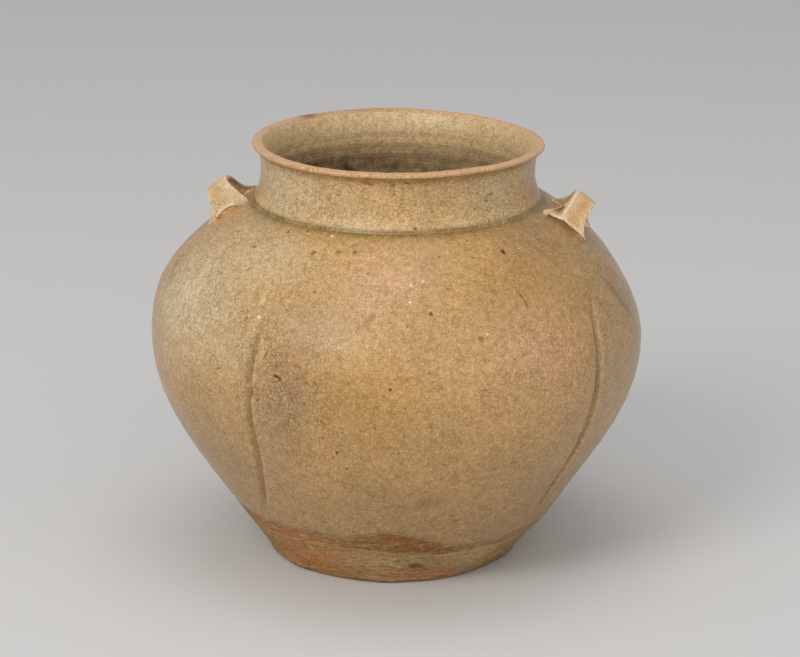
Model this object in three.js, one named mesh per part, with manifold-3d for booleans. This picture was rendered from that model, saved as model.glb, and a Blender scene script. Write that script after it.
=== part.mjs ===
// A wide-mouthed stoneware storage jar with a melon-lobed body and two strap loops on the shoulder.
// Millimetres, +Z up, origin on the jar's axis where it stands, +X through the two loops.
import * as THREE from "three";
import { mergeVertices } from "three/addons/utils/BufferGeometryUtils.js";
import Module from "manifold-3d";

const wasm = await Module();
wasm.setup();

// Neck with an everted lip
const NECK_ROOT_RADIUS = 59;
const WAIST_DRAW = 2; // how far the neck draws in from its root to its waist
const NECK_WAIST_HEIGHT = 12.5; // above the shoulder
const NECK_WALL = 4.2;
const LIP_REACH = 1.5; // how far the lip stands out past the neck's root
const LIP_HEIGHT = 24; // above the shoulder
const LIP_THICKNESS = 1.3;
const LIP_WIDTH = 3.5;
const LIP_FALL = 0.4; // from the inner edge of the lip's face to its outer edge
const LIP_UNDERCUT = 5.5; // height over which the lip turns outwards
const LIP_EDGE_ROUND = 0.4;
const LIP_WAVE = 0.35; // the lip isn't flat: high at this angle and opposite it, low between
const LIP_WAVE_ANGLE = 136;
const LIP_SLANT = 0.8; // and a little higher on the side of this angle
const LIP_SLANT_ANGLE = -144;
const LIP_OFFSET = 0.5; // and pushed this far off the jar's axis, towards +X

// Thrown body, outside
const FOOT_CONTACT_RADIUS = 49;
const FOOT_EDGE_RADIUS = 53.2;
const FOOT_EDGE_HEIGHT = 2.6;
const FOOT_OFFSET = 2.2; // the foot was trimmed this far off the jar's axis, towards -X
const FOOT_OFFSET_FADE = 19; // height over which the wall comes back to the axis
const BELLY_RADIUS = 103;
const BELLY_HEIGHT = 94.4;
const SEAT_HEIGHT = 152.5; // top of the shoulder, where the neck is luted on
const GROOVE_WIDTH = 1.1; // ledge of the shoulder outside the neck's root
const WALL_FLARE = 36; // lean of the wall above the foot, degrees from upright
const WALL_STRAIGHTNESS = 52.3; // how far the wall keeps that lean
const BELLY_TURN_BELOW = 27.6; // upright reach of the belly, below and above its widest line
const BELLY_TURN_ABOVE = 29.4;
const SHOULDER_SLOPE = 28.8; // slope of the shoulder at the neck, degrees from level
const SHOULDER_STRAIGHTNESS = 18.7;
const SHOULDER_FULLNESS = 1.95; // the shoulder bulges this much on the -X side and falls in opposite
const FULLNESS_HEIGHT = 120;
const FULLNESS_REACH = 16;

// Thrown body, inside
const WALL = 5;
const FLOOR = 7.5;

// Four creases pressed into the leather-hard wall, which leave four lobes: the angle at each one's
// middle, and how far its head and its foot lean off that angle, in degrees
const CREASES = [
  { angle: -118.8, head: 2.6, foot: -15.7 },
  { angle: -28.1, head: 1.9, foot: 4.1 },
  { angle: 61.2, head: -3, foot: -5 },
  { angle: 151.9, head: 4, foot: 6 },
];
const CREASE_DEPTH = 1.9;
const CREASE_HALF_WIDTH = 3.4;
const CREASE_SHARE_INSIDE = 0.3; // the crease shows this much through the wall
const LOBE_DEPTH = 1.6; // how far the wall falls back towards a crease
const LOBE_REACH = 26; // degrees of wall that fall back, on each side
const CREASE_FOOT = 24;
const CREASE_HEAD = 128;
const CREASE_FADE = 20;

// Strap loops, bent by hand and no two alike: the angle round the jar, how far the middle of each
// stands out from the edge of the shoulder, how high its strap rises, and for its first and second
// foot, anticlockwise, how far the uphill edge spreads and how near the foot it turns out
const LOOPS = {
  loop_right: { angle: 0, out: 11.7, rise: 11.2, uphill: [[6.6, 2.6], [4.8, 3.5]] },
  loop_left: { angle: 180, out: 9.9, rise: 10.8, uphill: [[4.6, 5], [5.6, 1]] },
};
const LOOP_HALF_SPAN = 9.9; // strap centreline, from the loop's centre to each foot
const STRAP_THICKNESS = 2.3;
const STRAP_CREST_WIDTH = 10;
const DOWNHILL_SPREAD = 4.8; // how much further the downhill edge of the strap reaches at its feet
const DOWNHILL_SHARPNESS = 3.5;
const STRAP_TOE = 2.4; // how far each foot is smeared outwards over the shoulder
const STRAP_FLATNESS = 0.55; // a flat section with soft edges
const STRAP_EDGE_ROUNDNESS = 0.75;
const FOOT_BURY = 5; // strap left below the shoulder before it is cut to it
const JOINT_GAP = 0.3;

const LOWER_STEPS = 13;
const SHOULDER_STEPS = 12;
const NECK_SEGMENTS = 64;
const NECK_CURVE_STEPS = 5;
const LOOP_STEPS = 26;
const STRAP_SIDES = 14;
const HALVINGS = 40; // of the search for a point on the shoulder

const shoulderRadius = NECK_ROOT_RADIUS + GROOVE_WIDTH;
const waistRadius = NECK_ROOT_RADIUS - WAIST_DRAW;
const lipRadius = NECK_ROOT_RADIUS + LIP_REACH;
const mouthRadius = NECK_ROOT_RADIUS - NECK_WALL;

const rad = THREE.MathUtils.degToRad;
const smooth = THREE.MathUtils.smoothstep;

// Outer wall from the foot's edge up to the neck seat, as [radius, height] points of two Bezier curves.
function wallCurves() {
  const flare = rad(WALL_FLARE);
  const slope = rad(SHOULDER_SLOPE);
  const edge = new THREE.Vector2(FOOT_EDGE_RADIUS, FOOT_EDGE_HEIGHT);
  const belly = new THREE.Vector2(BELLY_RADIUS, BELLY_HEIGHT);
  const seat = new THREE.Vector2(shoulderRadius, SEAT_HEIGHT);
  const lower = new THREE.CubicBezierCurve(
    edge,
    new THREE.Vector2(
      edge.x + WALL_STRAIGHTNESS * Math.sin(flare),
      edge.y + WALL_STRAIGHTNESS * Math.cos(flare),
    ),
    new THREE.Vector2(belly.x, belly.y - BELLY_TURN_BELOW),
    belly,
  );
  const upper = new THREE.CubicBezierCurve(
    belly,
    new THREE.Vector2(belly.x, belly.y + BELLY_TURN_ABOVE),
    new THREE.Vector2(
      seat.x + SHOULDER_STRAIGHTNESS * Math.cos(slope),
      seat.y - SHOULDER_STRAIGHTNESS * Math.sin(slope),
    ),
    seat,
  );
  return [lower, upper];
}

// Points of the wall with the outward normal at each, moved along that normal by offset.
function wallPoints(offset, lowerSteps, shoulderSteps) {
  const [lower, upper] = wallCurves();
  const points = [];
  const take = (curve, steps, first) => {
    for (let i = first; i <= steps; i++) {
      const p = curve.getPointAt(i / steps);
      const along = curve.getTangentAt(i / steps);
      points.push([p.x + along.y * offset, p.y - along.x * offset]);
    }
  };
  take(lower, lowerSteps, 0);
  take(upper, shoulderSteps, 1);
  return points;
}

// Angle of a crease at a height.
function creaseAt({ angle, head, foot }, height) {
  const middle = (CREASE_FOOT + CREASE_HEAD) / 2;
  const share = THREE.MathUtils.clamp((height - middle) / (CREASE_HEAD - middle), -1, 1);
  return angle + (share > 0 ? head : foot) * share ** 2;
}

// How far the wall is pressed in at a height and an angle, with a sharp crease in a broad soft dip.
function pressedIn(radius, height, angle, creaseShare) {
  const window =
    smooth(height, CREASE_FOOT, CREASE_FOOT + CREASE_FADE) *
    (1 - smooth(height, CREASE_HEAD - CREASE_FADE, CREASE_HEAD));
  let deepest = 0;
  for (const crease of CREASES) {
    const turned = angle - creaseAt(crease, height);
    const away = Math.abs(THREE.MathUtils.euclideanModulo(turned + 180, 360) - 180);
    const across = rad(away) * radius;
    const line = CREASE_DEPTH * Math.exp(-((across / CREASE_HALF_WIDTH) ** 2));
    const dip = LOBE_DEPTH * (1 - smooth(away, 0, LOBE_REACH));
    deepest = Math.max(deepest, line * creaseShare + dip);
  }
  return deepest * window;
}

// Angles round the jar at a height: close together across each crease, wide apart on the lobes.
function ringAngles(height) {
  const acrossCrease = [-8, -4.5, -2.6, -1.2, 0, 1.2, 2.6, 4.5, 8];
  const lobeStep = 9;
  const angles = [];
  CREASES.forEach((crease, i) => {
    const last = i === CREASES.length - 1;
    const next = last ? { ...CREASES[0], angle: CREASES[0].angle + 360 } : CREASES[i + 1];
    const at = creaseAt(crease, height);
    const from = at + acrossCrease.at(-1);
    const width = creaseAt(next, height) + acrossCrease[0] - from;
    const steps = Math.round((next.angle - crease.angle) / lobeStep) - 2;
    acrossCrease.forEach((away) => angles.push(at + away));
    for (let k = 1; k < steps; k++) angles.push(from + (width * k) / steps);
  });
  return angles;
}

// Radius of the wall at an angle: lobed, creased, and fuller on one side of the shoulder.
function wallRadius(radius, height, angle, creaseShare) {
  const full = SHOULDER_FULLNESS * Math.exp(-(((height - FULLNESS_HEIGHT) / FULLNESS_REACH) ** 2));
  return radius - full * Math.cos(rad(angle)) - pressedIn(radius, height, angle, creaseShare);
}

// A closed solid from rings of [radius, height] stations, whose first and last rings are single points.
function ringSolid(stations, place) {
  const positions = [];
  const index = [];
  stations.forEach(([r, z], i) => {
    const onAxis = i === 0 || i === stations.length - 1;
    const ring = onAxis ? [0] : ringAngles(z);
    const centre = -FOOT_OFFSET * Math.exp(-z / FOOT_OFFSET_FADE);
    for (const a of ring) {
      const radius = onAxis ? 0 : place(r, z, a, i);
      positions.push(centre + radius * Math.cos(rad(a)), radius * Math.sin(rad(a)), z);
    }
  });
  const n = ringAngles(0).length;
  const at = (ring, j) => 1 + (ring - 1) * n + (j % n);
  const last = stations.length - 1;
  const top = positions.length / 3 - 1;
  for (let j = 0; j < n; j++) {
    index.push(0, at(1, j + 1), at(1, j));
    for (let ring = 1; ring < last - 1; ring++) {
      const [a, b] = [at(ring, j), at(ring, j + 1)];
      const [c, d] = [at(ring + 1, j), at(ring + 1, j + 1)];
      index.push(a, b, d, a, d, c);
    }
    index.push(at(last - 1, j), at(last - 1, j + 1), top);
  }
  const geometry = new THREE.BufferGeometry();
  geometry.setAttribute("position", new THREE.Float32BufferAttribute(positions, 3));
  geometry.setIndex(index);
  return geometry;
}

// The thrown body: flat foot with a trimmed edge, lobed wall, open at the neck seat.
function bodyGeometry() {
  const outer = [
    [0, 0],
    [FOOT_CONTACT_RADIUS, 0],
    ...wallPoints(0, LOWER_STEPS, SHOULDER_STEPS),
  ];
  const innerWall = wallPoints(-WALL, LOWER_STEPS - 3, SHOULDER_STEPS - 3).filter(
    ([r, z]) => z > FLOOR + 1 && r > mouthRadius + 1,
  );
  const [firstRadius] = innerWall[0];
  const inner = [
    [mouthRadius, SEAT_HEIGHT],
    [mouthRadius, SEAT_HEIGHT - WALL / 2],
    ...innerWall.reverse(),
    [firstRadius - WALL, FLOOR + 0.5],
    [firstRadius - 3 * WALL, FLOOR],
    [0, FLOOR],
  ];
  const stations = [...outer, ...inner];
  return ringSolid(stations, (r, z, a, i) =>
    wallRadius(r, z, a, i < outer.length ? 1 : CREASE_SHARE_INSIDE),
  );
}

// The body's outside grown by the joint gap, which trims the loops' feet to the shoulder.
function shoulderCutter() {
  const stations = [
    [0, 0],
    ...wallPoints(JOINT_GAP, LOWER_STEPS, SHOULDER_STEPS),
    [0, SEAT_HEIGHT + JOINT_GAP],
  ];
  return ringSolid(stations, (r, z, a) => wallRadius(r, z, a, 1));
}

// Half section of the neck as a closed loop, anticlockwise from its root, grown by a gap for cutting.
function neckSection(gap) {
  const root = SEAT_HEIGHT;
  const waist = root + NECK_WAIST_HEIGHT;
  const lip = root + LIP_HEIGHT;
  const edge = lip - LIP_FALL;
  const underLip = edge - LIP_THICKNESS;
  const inside = waistRadius - NECK_WALL;
  const path = new THREE.Path();
  path.moveTo(NECK_ROOT_RADIUS + gap, root);
  path.bezierCurveTo(
    NECK_ROOT_RADIUS + gap, root + NECK_WAIST_HEIGHT / 4,
    waistRadius + gap, waist - NECK_WAIST_HEIGHT / 2,
    waistRadius + gap, waist,
  );
  path.bezierCurveTo(
    waistRadius + gap, underLip - LIP_UNDERCUT / 2,
    waistRadius + gap + LIP_THICKNESS / 2, underLip - LIP_THICKNESS,
    lipRadius + gap, underLip,
  );
  path.quadraticCurveTo(
    lipRadius + gap + LIP_EDGE_ROUND, edge - LIP_THICKNESS / 3,
    lipRadius - LIP_EDGE_ROUND, edge,
  );
  path.quadraticCurveTo(
    lipRadius - LIP_WIDTH / 2, lip,
    lipRadius - LIP_WIDTH, lip,
  );
  path.bezierCurveTo(
    inside + LIP_WIDTH / 2, underLip,
    inside, waist + LIP_UNDERCUT / 2,
    inside, waist,
  );
  path.bezierCurveTo(
    inside, waist - NECK_WAIST_HEIGHT / 2,
    mouthRadius, root + NECK_WAIST_HEIGHT / 3,
    mouthRadius, root,
  );
  path.lineTo(NECK_ROOT_RADIUS + gap, root);
  return path.getPoints(NECK_CURVE_STEPS);
}

// Lathe of the neck about +Z, bent out of flat and off its axis towards the lip.
function neckGeometry(gap = 0) {
  const geometry = new THREE.LatheGeometry(neckSection(gap), NECK_SEGMENTS);
  geometry.rotateX(Math.PI / 2);
  const position = geometry.getAttribute("position");
  for (let i = 0; i < position.count; i++) {
    const share = (position.getZ(i) - SEAT_HEIGHT) / LIP_HEIGHT;
    const angle = Math.atan2(position.getY(i), position.getX(i));
    const wave = LIP_WAVE * Math.cos(2 * (angle - rad(LIP_WAVE_ANGLE)));
    const slant = LIP_SLANT * Math.cos(angle - rad(LIP_SLANT_ANGLE));
    position.setX(i, position.getX(i) + share * LIP_OFFSET);
    position.setZ(i, position.getZ(i) + share * (wave + slant));
  }
  return geometry;
}

// Shoulder point at a radius from the axis, with its slope, where a loop is seated.
function shoulderAt(radius) {
  const upper = wallCurves()[1];
  let low = 0;
  let high = 1;
  for (let i = 0; i < HALVINGS; i++) {
    const middle = (low + high) / 2;
    if (upper.getPoint(middle).x > radius) low = middle;
    else high = middle;
  }
  const point = upper.getPoint(low);
  const along = upper.getTangent(low);
  return { height: point.y, slope: Math.atan2(along.y, -along.x) };
}

// One strap bent into an arch over the shoulder: x down the slope, y along the arch, z off the surface.
function strapGeometry(rise, uphill) {
  const positions = [];
  const index = [];
  const buried = FOOT_BURY / rise;
  const steps = LOOP_STEPS;
  for (let i = 0; i <= steps; i++) {
    const turn = -buried + ((Math.PI + 2 * buried) * i) / steps;
    const side = Math.cos(turn);
    const down = 1 - Math.max(0, Math.sin(turn)); // 0 at the crest, 1 at the feet
    const y = LOOP_HALF_SPAN * side + STRAP_TOE * Math.sign(side) * down ** DOWNHILL_SHARPNESS;
    const z = rise * Math.sin(turn);
    const [spread, sharpness] = uphill[side < 0 ? 0 : 1];
    const uphillHalf = STRAP_CREST_WIDTH / 2 + spread * down ** sharpness;
    const downhillHalf = STRAP_CREST_WIDTH / 2 + DOWNHILL_SPREAD * down ** DOWNHILL_SHARPNESS;
    const outward = new THREE.Vector2(side / LOOP_HALF_SPAN, Math.sin(turn) / rise).normalize();
    for (let k = 0; k < STRAP_SIDES; k++) {
      const a = (2 * Math.PI * k) / STRAP_SIDES;
      const across = Math.sign(Math.cos(a)) * Math.abs(Math.cos(a)) ** STRAP_FLATNESS;
      const through = Math.sign(Math.sin(a)) * Math.abs(Math.sin(a)) ** STRAP_EDGE_ROUNDNESS;
      const off = through * (STRAP_THICKNESS / 2);
      const reach = across > 0 ? downhillHalf : uphillHalf;
      positions.push(across * reach, y + outward.x * off, z + outward.y * off);
    }
  }
  const at = (i, k) => i * STRAP_SIDES + (k % STRAP_SIDES);
  for (let i = 0; i < steps; i++)
    for (let k = 0; k < STRAP_SIDES; k++)
      index.push(at(i, k), at(i, k + 1), at(i + 1, k + 1), at(i, k), at(i + 1, k + 1), at(i + 1, k));
  for (let k = 1; k < STRAP_SIDES - 1; k++) {
    index.push(at(0, 0), at(0, k + 1), at(0, k));
    index.push(at(steps, 0), at(steps, k), at(steps, k + 1));
  }
  const geometry = new THREE.BufferGeometry();
  geometry.setAttribute("position", new THREE.Float32BufferAttribute(positions, 3));
  geometry.setIndex(index);
  return geometry;
}

function toSolid(geometry) {
  const bare = geometry.clone();
  bare.deleteAttribute("normal");
  bare.deleteAttribute("uv");
  const merged = mergeVertices(bare, 1e-4);
  return new wasm.Manifold(
    new wasm.Mesh({
      numProp: 3,
      vertProperties: merged.getAttribute("position").array,
      triVerts: new Uint32Array(merged.index.array),
    }),
  );
}

function toGeometry(solid) {
  const mesh = solid.getMesh();
  const geometry = new THREE.BufferGeometry();
  geometry.setAttribute("position", new THREE.BufferAttribute(mesh.vertProperties, 3));
  geometry.setIndex(new THREE.BufferAttribute(mesh.triVerts, 1));
  geometry.computeVertexNormals();
  return geometry;
}

// A loop seated on the shoulder, its feet trimmed to the wall and the neck.
function loopGeometry({ angle, out, rise, uphill }, cutters) {
  const loopRadius = shoulderRadius + out;
  const { height, slope } = shoulderAt(loopRadius);
  const strap = strapGeometry(rise, uphill);
  strap.rotateY(slope);
  strap.translate(loopRadius, 0, height);
  strap.rotateZ(rad(angle));
  const trimmed = cutters.reduce((solid, cutter) => solid.subtract(cutter), toSolid(strap));
  return toGeometry(trimmed);
}

const glaze = (colour, roughness) =>
  new THREE.MeshStandardMaterial({ color: colour, roughness, metalness: 0 });

const jar = new THREE.Group();
const add = (name, geometry, material) => {
  const mesh = new THREE.Mesh(geometry, material);
  mesh.name = name;
  jar.add(mesh);
};

add("jar_body", bodyGeometry(), glaze(0xa88a5c, 0.42));
add("neck_and_lip", neckGeometry(), glaze(0xa3895f, 0.42));
const cutters = [toSolid(shoulderCutter()), toSolid(neckGeometry(JOINT_GAP))];
for (const [name, loop] of Object.entries(LOOPS))
  add(name, loopGeometry(loop, cutters), glaze(0xd2b280, 0.5));

export default jar;
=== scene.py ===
import bpy
import numpy as np
from mathutils import Matrix, Vector


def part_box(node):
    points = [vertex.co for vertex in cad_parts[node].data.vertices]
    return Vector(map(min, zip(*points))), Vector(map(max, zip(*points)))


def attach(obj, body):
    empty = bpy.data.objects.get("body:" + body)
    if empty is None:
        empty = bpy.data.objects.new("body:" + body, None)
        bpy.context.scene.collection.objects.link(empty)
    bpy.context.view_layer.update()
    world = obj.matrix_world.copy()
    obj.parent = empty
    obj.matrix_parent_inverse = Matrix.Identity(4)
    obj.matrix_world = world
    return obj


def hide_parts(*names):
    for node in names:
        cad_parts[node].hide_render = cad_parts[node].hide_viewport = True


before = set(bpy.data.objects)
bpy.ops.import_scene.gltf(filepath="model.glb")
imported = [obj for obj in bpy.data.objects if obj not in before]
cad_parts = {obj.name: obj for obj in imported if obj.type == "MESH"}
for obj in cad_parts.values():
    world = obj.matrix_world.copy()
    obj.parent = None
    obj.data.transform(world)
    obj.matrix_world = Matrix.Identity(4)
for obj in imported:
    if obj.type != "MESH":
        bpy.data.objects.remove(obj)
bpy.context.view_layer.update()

# Thrown body
# One thrown pot of coarse iron-bearing stoneware, trimmed flat underneath, a little off its axis. Four
# creases were pressed into its wall when it was leather-hard, and ash glaze was poured over it.
MM = 0.001
_, belly_radius, seat_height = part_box("jar_body")[1]
belly_height = 94.4 * MM
foot_contact = 49 * MM
foot_edge = np.array([53.2, 2.6]) * MM
shoulder_radius = 60.1 * MM
wall = 5 * MM
floor_thickness = 7.5 * MM
mouth_radius = 54.8 * MM


def bezier(corners, count):
    t = np.linspace(0, 1, count)[:, None]
    a, b, c, d = (np.array(corner, float) for corner in corners)
    return (1 - t) ** 3 * a + 3 * (1 - t) ** 2 * t * b + 3 * (1 - t) * t**2 * c + t**3 * d


def heading(length, degrees):
    return length * np.array([np.cos(np.radians(degrees)), np.sin(np.radians(degrees))])


# Half of the pot cut through its axis, as radius and height: under the foot, up the outside, over the seat of
# the neck, down the inside and across the floor
belly = np.array([belly_radius, belly_height])
seat = np.array([shoulder_radius, seat_height])
lower_wall = bezier([foot_edge, foot_edge + heading(52.3 * MM, 54), belly - [0, 27.6 * MM], belly], 130)
shoulder = bezier([belly, belly + [0, 29.4 * MM], seat + heading(18.7 * MM, -28.8), seat], 100)
outer_wall = np.vstack([lower_wall, shoulder[1:]])
tangent = np.gradient(outer_wall, axis=0)
tangent /= np.linalg.norm(tangent, axis=1)[:, None]
inner_wall = outer_wall - wall * tangent[:, ::-1] * [1, -1]
inner_wall = inner_wall[(inner_wall[:, 1] > floor_thickness + MM) & (inner_wall[:, 0] > mouth_radius + MM)]

groove = np.array([58.9 * MM, seat_height - 0.7 * MM])
base = np.stack([np.linspace(1 * MM, foot_contact, 14), np.zeros(14)], axis=1)
foot_bevel = bezier([
    [foot_contact, 0], foot_edge - [1.6 * MM, 2.6 * MM], foot_edge - [0.5 * MM, 1.2 * MM], foot_edge,
], 8)
rim = np.array([
    seat + [-0.5 * MM, 0.05 * MM],
    groove + [0.2 * MM, 0.2 * MM],
    groove,
    [mouth_radius, groove[1]],
    [mouth_radius, groove[1] - wall / 2],
])
inner_floor_radius = inner_wall[0, 0] - 4 * MM
inner_floor = np.stack([np.linspace(inner_floor_radius, 1 * MM, 16), np.full(16, floor_thickness)], axis=1)
section = np.vstack([base, foot_bevel[1:], outer_wall[1:], rim, inner_wall[::-2], inner_floor])
radius, height = section[:, :1], section[:, 1:]
outside_rings = len(base) + len(foot_bevel) - 1 + len(outer_wall) - 1
is_outside = (np.arange(len(section)) < outside_rings)[:, None]

# Creases: the angle at the middle of each, and how far its head and its foot lean off that, in degrees. The
# wide dip between two lobes comes first, then the narrow line in it, which wanders off the dip's middle.
dips = [(-118.8, 2.6, -15.7), (-28.1, 1.9, 4.1), (61.2, -3, -5), (151.9, 4, 6)]
creases = [(-118.2, 2.6, -15.7), (-28.9, 6.1, 0.4), (61.2, -3, -5), (151.9, 4, 6)]
crease_foot = 24 * MM
crease_head = 128 * MM
crease_fade = 20 * MM
crease_depth = 1.9 * MM
crease_soft_side = 2.5 * MM
crease_sharp_side = 0.9 * MM
crease_felt_inside = 0.3
lobe_depth = 1.6 * MM
lobe_reach = 26


def ease(value, start, end):
    share = np.clip((value - start) / (end - start), 0, 1)
    return share * share * (3 - 2 * share)


def bell(value, middle, reach):
    return np.exp(-(((value - middle) / reach) ** 2))


def turned(from_angle, to_angle):
    return (to_angle - from_angle + 180) % 360 - 180


def crease_angle(crease, at_height):
    middle = (crease_foot + crease_head) / 2
    share = np.clip((at_height - middle) / (crease_head - middle), -1, 1)
    return crease[0] + np.where(share > 0, crease[1], crease[2]) * share**2


# Points round each ring lie close together across the creases and wide apart on the lobes between them
around_crease = np.linspace(0, 4.5, 19)
along_lobe = np.linspace(0, 1, 130)[1:-1]
lines = [crease_angle(crease, height) for crease in creases]
columns = []
for line, next_line in zip(lines, lines[1:] + [lines[0] + 360]):
    lobe_width = next_line - line - 2 * around_crease[-1]
    lobe = line + around_crease[-1] + lobe_width * along_lobe
    columns += [line + around_crease, lobe, next_line - around_crease[:0:-1]]
angle = np.hstack(columns)

# The narrow line has a sharp side and a soft one. The clay pushed up beside it gets a painted highlight, and
# the line itself is painted darker, partly glaze pooled in it and partly painted shade
crease_line = crease_crest = lobe_dip = np.zeros_like(angle)
for crease, dip in zip(creases, dips):
    across = np.radians(turned(crease_angle(crease, height), angle)) * radius
    width = np.where(across > 0, crease_sharp_side, crease_soft_side)
    crease_line = np.maximum(crease_line, bell(across, 0, width))
    crest = bell(across, 2 * MM, 0.9 * MM) + 0.5 * bell(across, -3.6 * MM, 0.8 * MM)
    crease_crest = np.maximum(crease_crest, crest)
    off_dip = np.abs(turned(crease_angle(dip, height), angle))
    lobe_dip = np.maximum(lobe_dip, 1 - ease(off_dip, 0, lobe_reach))
below_head = 1 - ease(height, crease_head - crease_fade, crease_head)
reach = ease(height, crease_foot, crease_foot + crease_fade) * below_head
crease_line *= reach
crease_crest *= reach
pressed = crease_line * crease_depth * np.where(is_outside, 1, crease_felt_inside)
pressed += lobe_dip * reach * lobe_depth


def wobble(at_angle, parts):
    """A sum of waves round the pot, each given as its count, its size and its phase in degrees."""
    return sum(size * np.cos(np.radians(count * at_angle + phase)) for count, size, phase in parts)


# Finger ridges from throwing, faint outside under the glaze and plain inside, and a pot never quite round,
# which leans a little to the left at the shoulder and swells on the right above the foot
ridge_pitch = 8.5 * MM
on_wall = ease(height, 4 * MM, 15 * MM) * (1 - ease(height, 146 * MM, 152 * MM))
ridges = np.sin(2 * np.pi * height / ridge_pitch + np.radians(angle)) * on_wall
ridges *= np.where(is_outside, 0.06, 0.45) * MM
out_of_round = wobble(angle, [(3, 0.18, 110), (5, 0.1, 200)]) * MM * on_wall
to_right = np.cos(np.radians(angle))
lean = -1.95 * MM * bell(height, 120 * MM, 16 * MM) * to_right
swell = 1.1 * MM * bell(height, 21 * MM, 8 * MM) * to_right.clip(0) * is_outside


def line_round(points):
    """Height in millimetres, at each angle, of a line that runs unevenly round the pot."""
    at, line_height = np.array(points, float).T
    uneven = wobble(angle, [(7, 0.3, 10), (19, 0.2, 240), (43, 0.12, 80)])
    return np.interp(angle, at, line_height, period=360) + uneven


# The foot was trimmed with a knife, which left a turned ledge, fine lines and nicks in the dry clay
knife_pitch = 1.5 * MM
ledge = line_round([
    (-150, 17.5), (-142, 17.9), (-129, 18.7), (-118, 19.9), (-106, 18.5), (-95, 18.9), (-80, 17.5),
    (-69, 15.9), (-55, 15.4), (-38, 16.0), (0, 17.0), (90, 18.0),
])
above_ledge = height / MM - ledge
knife_lines = np.sin(2 * np.pi * height / knife_pitch + wobble(angle, [(2, 1.5, 0)]))
foot_nibble = wobble(angle, [(5, 0.35, 20), (9, 0.25, 95), (16, 0.12, 310), (37, 0.06, 50)])
turning = 0.16 * ease(above_ledge, -0.9, 0.7) * bell(above_ledge, 0.2, 2.4)
turning += 0.06 * knife_lines * (1 - ease(above_ledge, -3, 0))
turning += foot_nibble * bell(height, 1.2 * MM, 2.2 * MM)
turning *= MM * is_outside * ease(radius, 47 * MM, 50 * MM)
radius = radius - pressed + ridges + out_of_round + lean + swell + turning


def foot_shift(at_height):
    """How far the foot stands off the axis of the neck, which fades out up the wall."""
    return -2.2 * MM * np.exp(-at_height / (19 * MM))


def ring_points(at_radius, at_angle, at_height, off_axis=0):
    turn = np.radians(at_angle)
    place = (off_axis + at_radius * np.cos(turn), at_radius * np.sin(turn), at_height)
    return np.stack(np.broadcast_arrays(*place), axis=2)


def skin(name, rings, masks=None, joined=False, open_end=False):
    """A smooth mesh over rings of points: capped at both ends, joined end to end, or open at the last."""
    count, around, _ = rings.shape
    corner = np.arange(count * around).reshape(count, around)
    beside = np.roll(corner, -1, axis=1)
    quads = np.stack([corner, beside, np.roll(beside, -1, axis=0), np.roll(corner, -1, axis=0)], axis=2)
    faces = quads[: count if joined else count - 1].reshape(-1, 4).tolist()
    points = rings.reshape(-1, 3)
    caps = () if joined else (0,) if open_end else (0, -1)
    for end in caps:
        points = np.vstack([points, rings[end].mean(axis=0)])
        edges = zip(beside[end], corner[end]) if end == 0 else zip(corner[end], beside[end])
        faces += [(len(points) - 1, int(a), int(b)) for a, b in edges]
    mesh = bpy.data.meshes.new(name)
    mesh.from_pydata(points.tolist(), [], faces)
    mesh.polygons.foreach_set("use_smooth", np.ones(len(faces), bool))
    for mask, values in (masks or {}).items():
        values = np.broadcast_to(values, (count, around))
        values = np.append(values, [values[end].mean() for end in caps])
        mesh.attributes.new(mask, "FLOAT", "POINT").data.foreach_set("value", values.astype(np.float32))
    piece = bpy.data.objects.new(name, mesh)
    bpy.context.scene.collection.objects.link(piece)
    return piece


# Where fire, ash and wear changed the glaze or the clay, and where shade, highlight and reflection are
# painted on it.
# Each mask is a sum of patches, given as angle, height in millimetres, half width in degrees, half height in
# millimetres, and strength.
patches = {
    "flash": [(-118, 9, 20, 7, 1), (-66, 4, 14, 2.5, 0.8), (-126, 21, 22, 4, 0.8)],
    "pale_clay_and_ledge_highlight": [(-92, 13, 14, 4, 0.9), (-50, 12, 14, 6, 0.9)],
    # Paler where ash settled on the glaze, and on the left shoulder also a painted highlight
    "ash_and_sheen": [
        (-146, 120, 17, 21, 1), (-124, 112, 9, 18, 0.3), (-122, 142, 18, 8, 0.45), (60, 130, 40, 20, 0.5),
    ],
    "flush": [(-86, 136, 12, 9, 1), (-44, 112, 13, 22, 0.8), (-68, 94, 14, 22, 0.2)],
    "ochre": [(-44, 138, 22, 12, 1), (-88, 98, 16, 24, 0.8), (-100, 146, 14, 6, 0.5)],
    "scorch": [(-108, 100, 7, 15, 1), (-110, 78, 6, 14, 0.7), (-127, 60, 12, 18, 0.5)],
    # Painted shade on the right of the front and beside the right loop, and a little left of the middle
    "painted_shade": [(-30, 137, 20, 15, 1), (-6, 118, 9, 18, 0.9), (-28, 147, 16, 6, 1), (-101, 122, 9, 7, 0.6)],
    # Painted shade low on the left of the wall
    "low_shade": [(-146, 58, 16, 14, 0.8)],
    # Painted grey reflection near the right edge of the body
    "side_reflection": [(2, 98, 12, 40, 0.8), (-20, 96, 8, 22, 0.5)],
    "inked": [(-107, 98, 11, 22, 0.8), (-150, 130, 30, 20, 0.3)],
}
masks = {}
for mask, places in patches.items():
    masks[mask] = np.zeros_like(angle)
    for at_angle, at_height, half_width, half_height, strength in places:
        spread = bell(turned(at_angle, angle), 0, half_width) * bell(height / MM, at_height, half_height)
        masks[mask] += strength * spread * is_outside

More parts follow.
